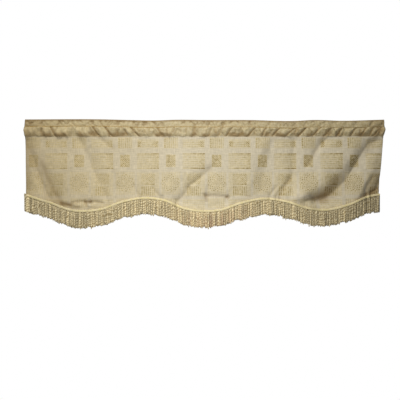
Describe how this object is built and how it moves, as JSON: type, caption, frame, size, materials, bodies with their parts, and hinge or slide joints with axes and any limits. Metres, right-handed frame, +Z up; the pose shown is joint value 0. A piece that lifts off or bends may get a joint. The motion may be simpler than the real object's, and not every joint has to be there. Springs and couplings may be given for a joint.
{
  "type": "scalloped valance",
  "caption": "Wide window valance of patterned woven cloth with a heading, a hollow rod pocket and a scalloped hem edged with braid and a fringe of cords.",
  "frame": {"origin": "middle of the top edge of the heading", "axes": "+X along the width to the right-hand end seen from the front, +Z up, the front faces -Y"},
  "size_m": [1.5259, 0.0423, 0.459],
  "materials": {
    "valance_cloth": "cream and beige tone-on-tone patterned weave, soft sheen",
    "fringe": "twisted beige rayon cords",
    "braid": "smooth pale yellow woven braid"
  },
  "bodies": {
    "root": {"valance_cloth": "valance_cloth", "fringe": "fringe", "braid": "braid"}
  },
  "joints": []
}
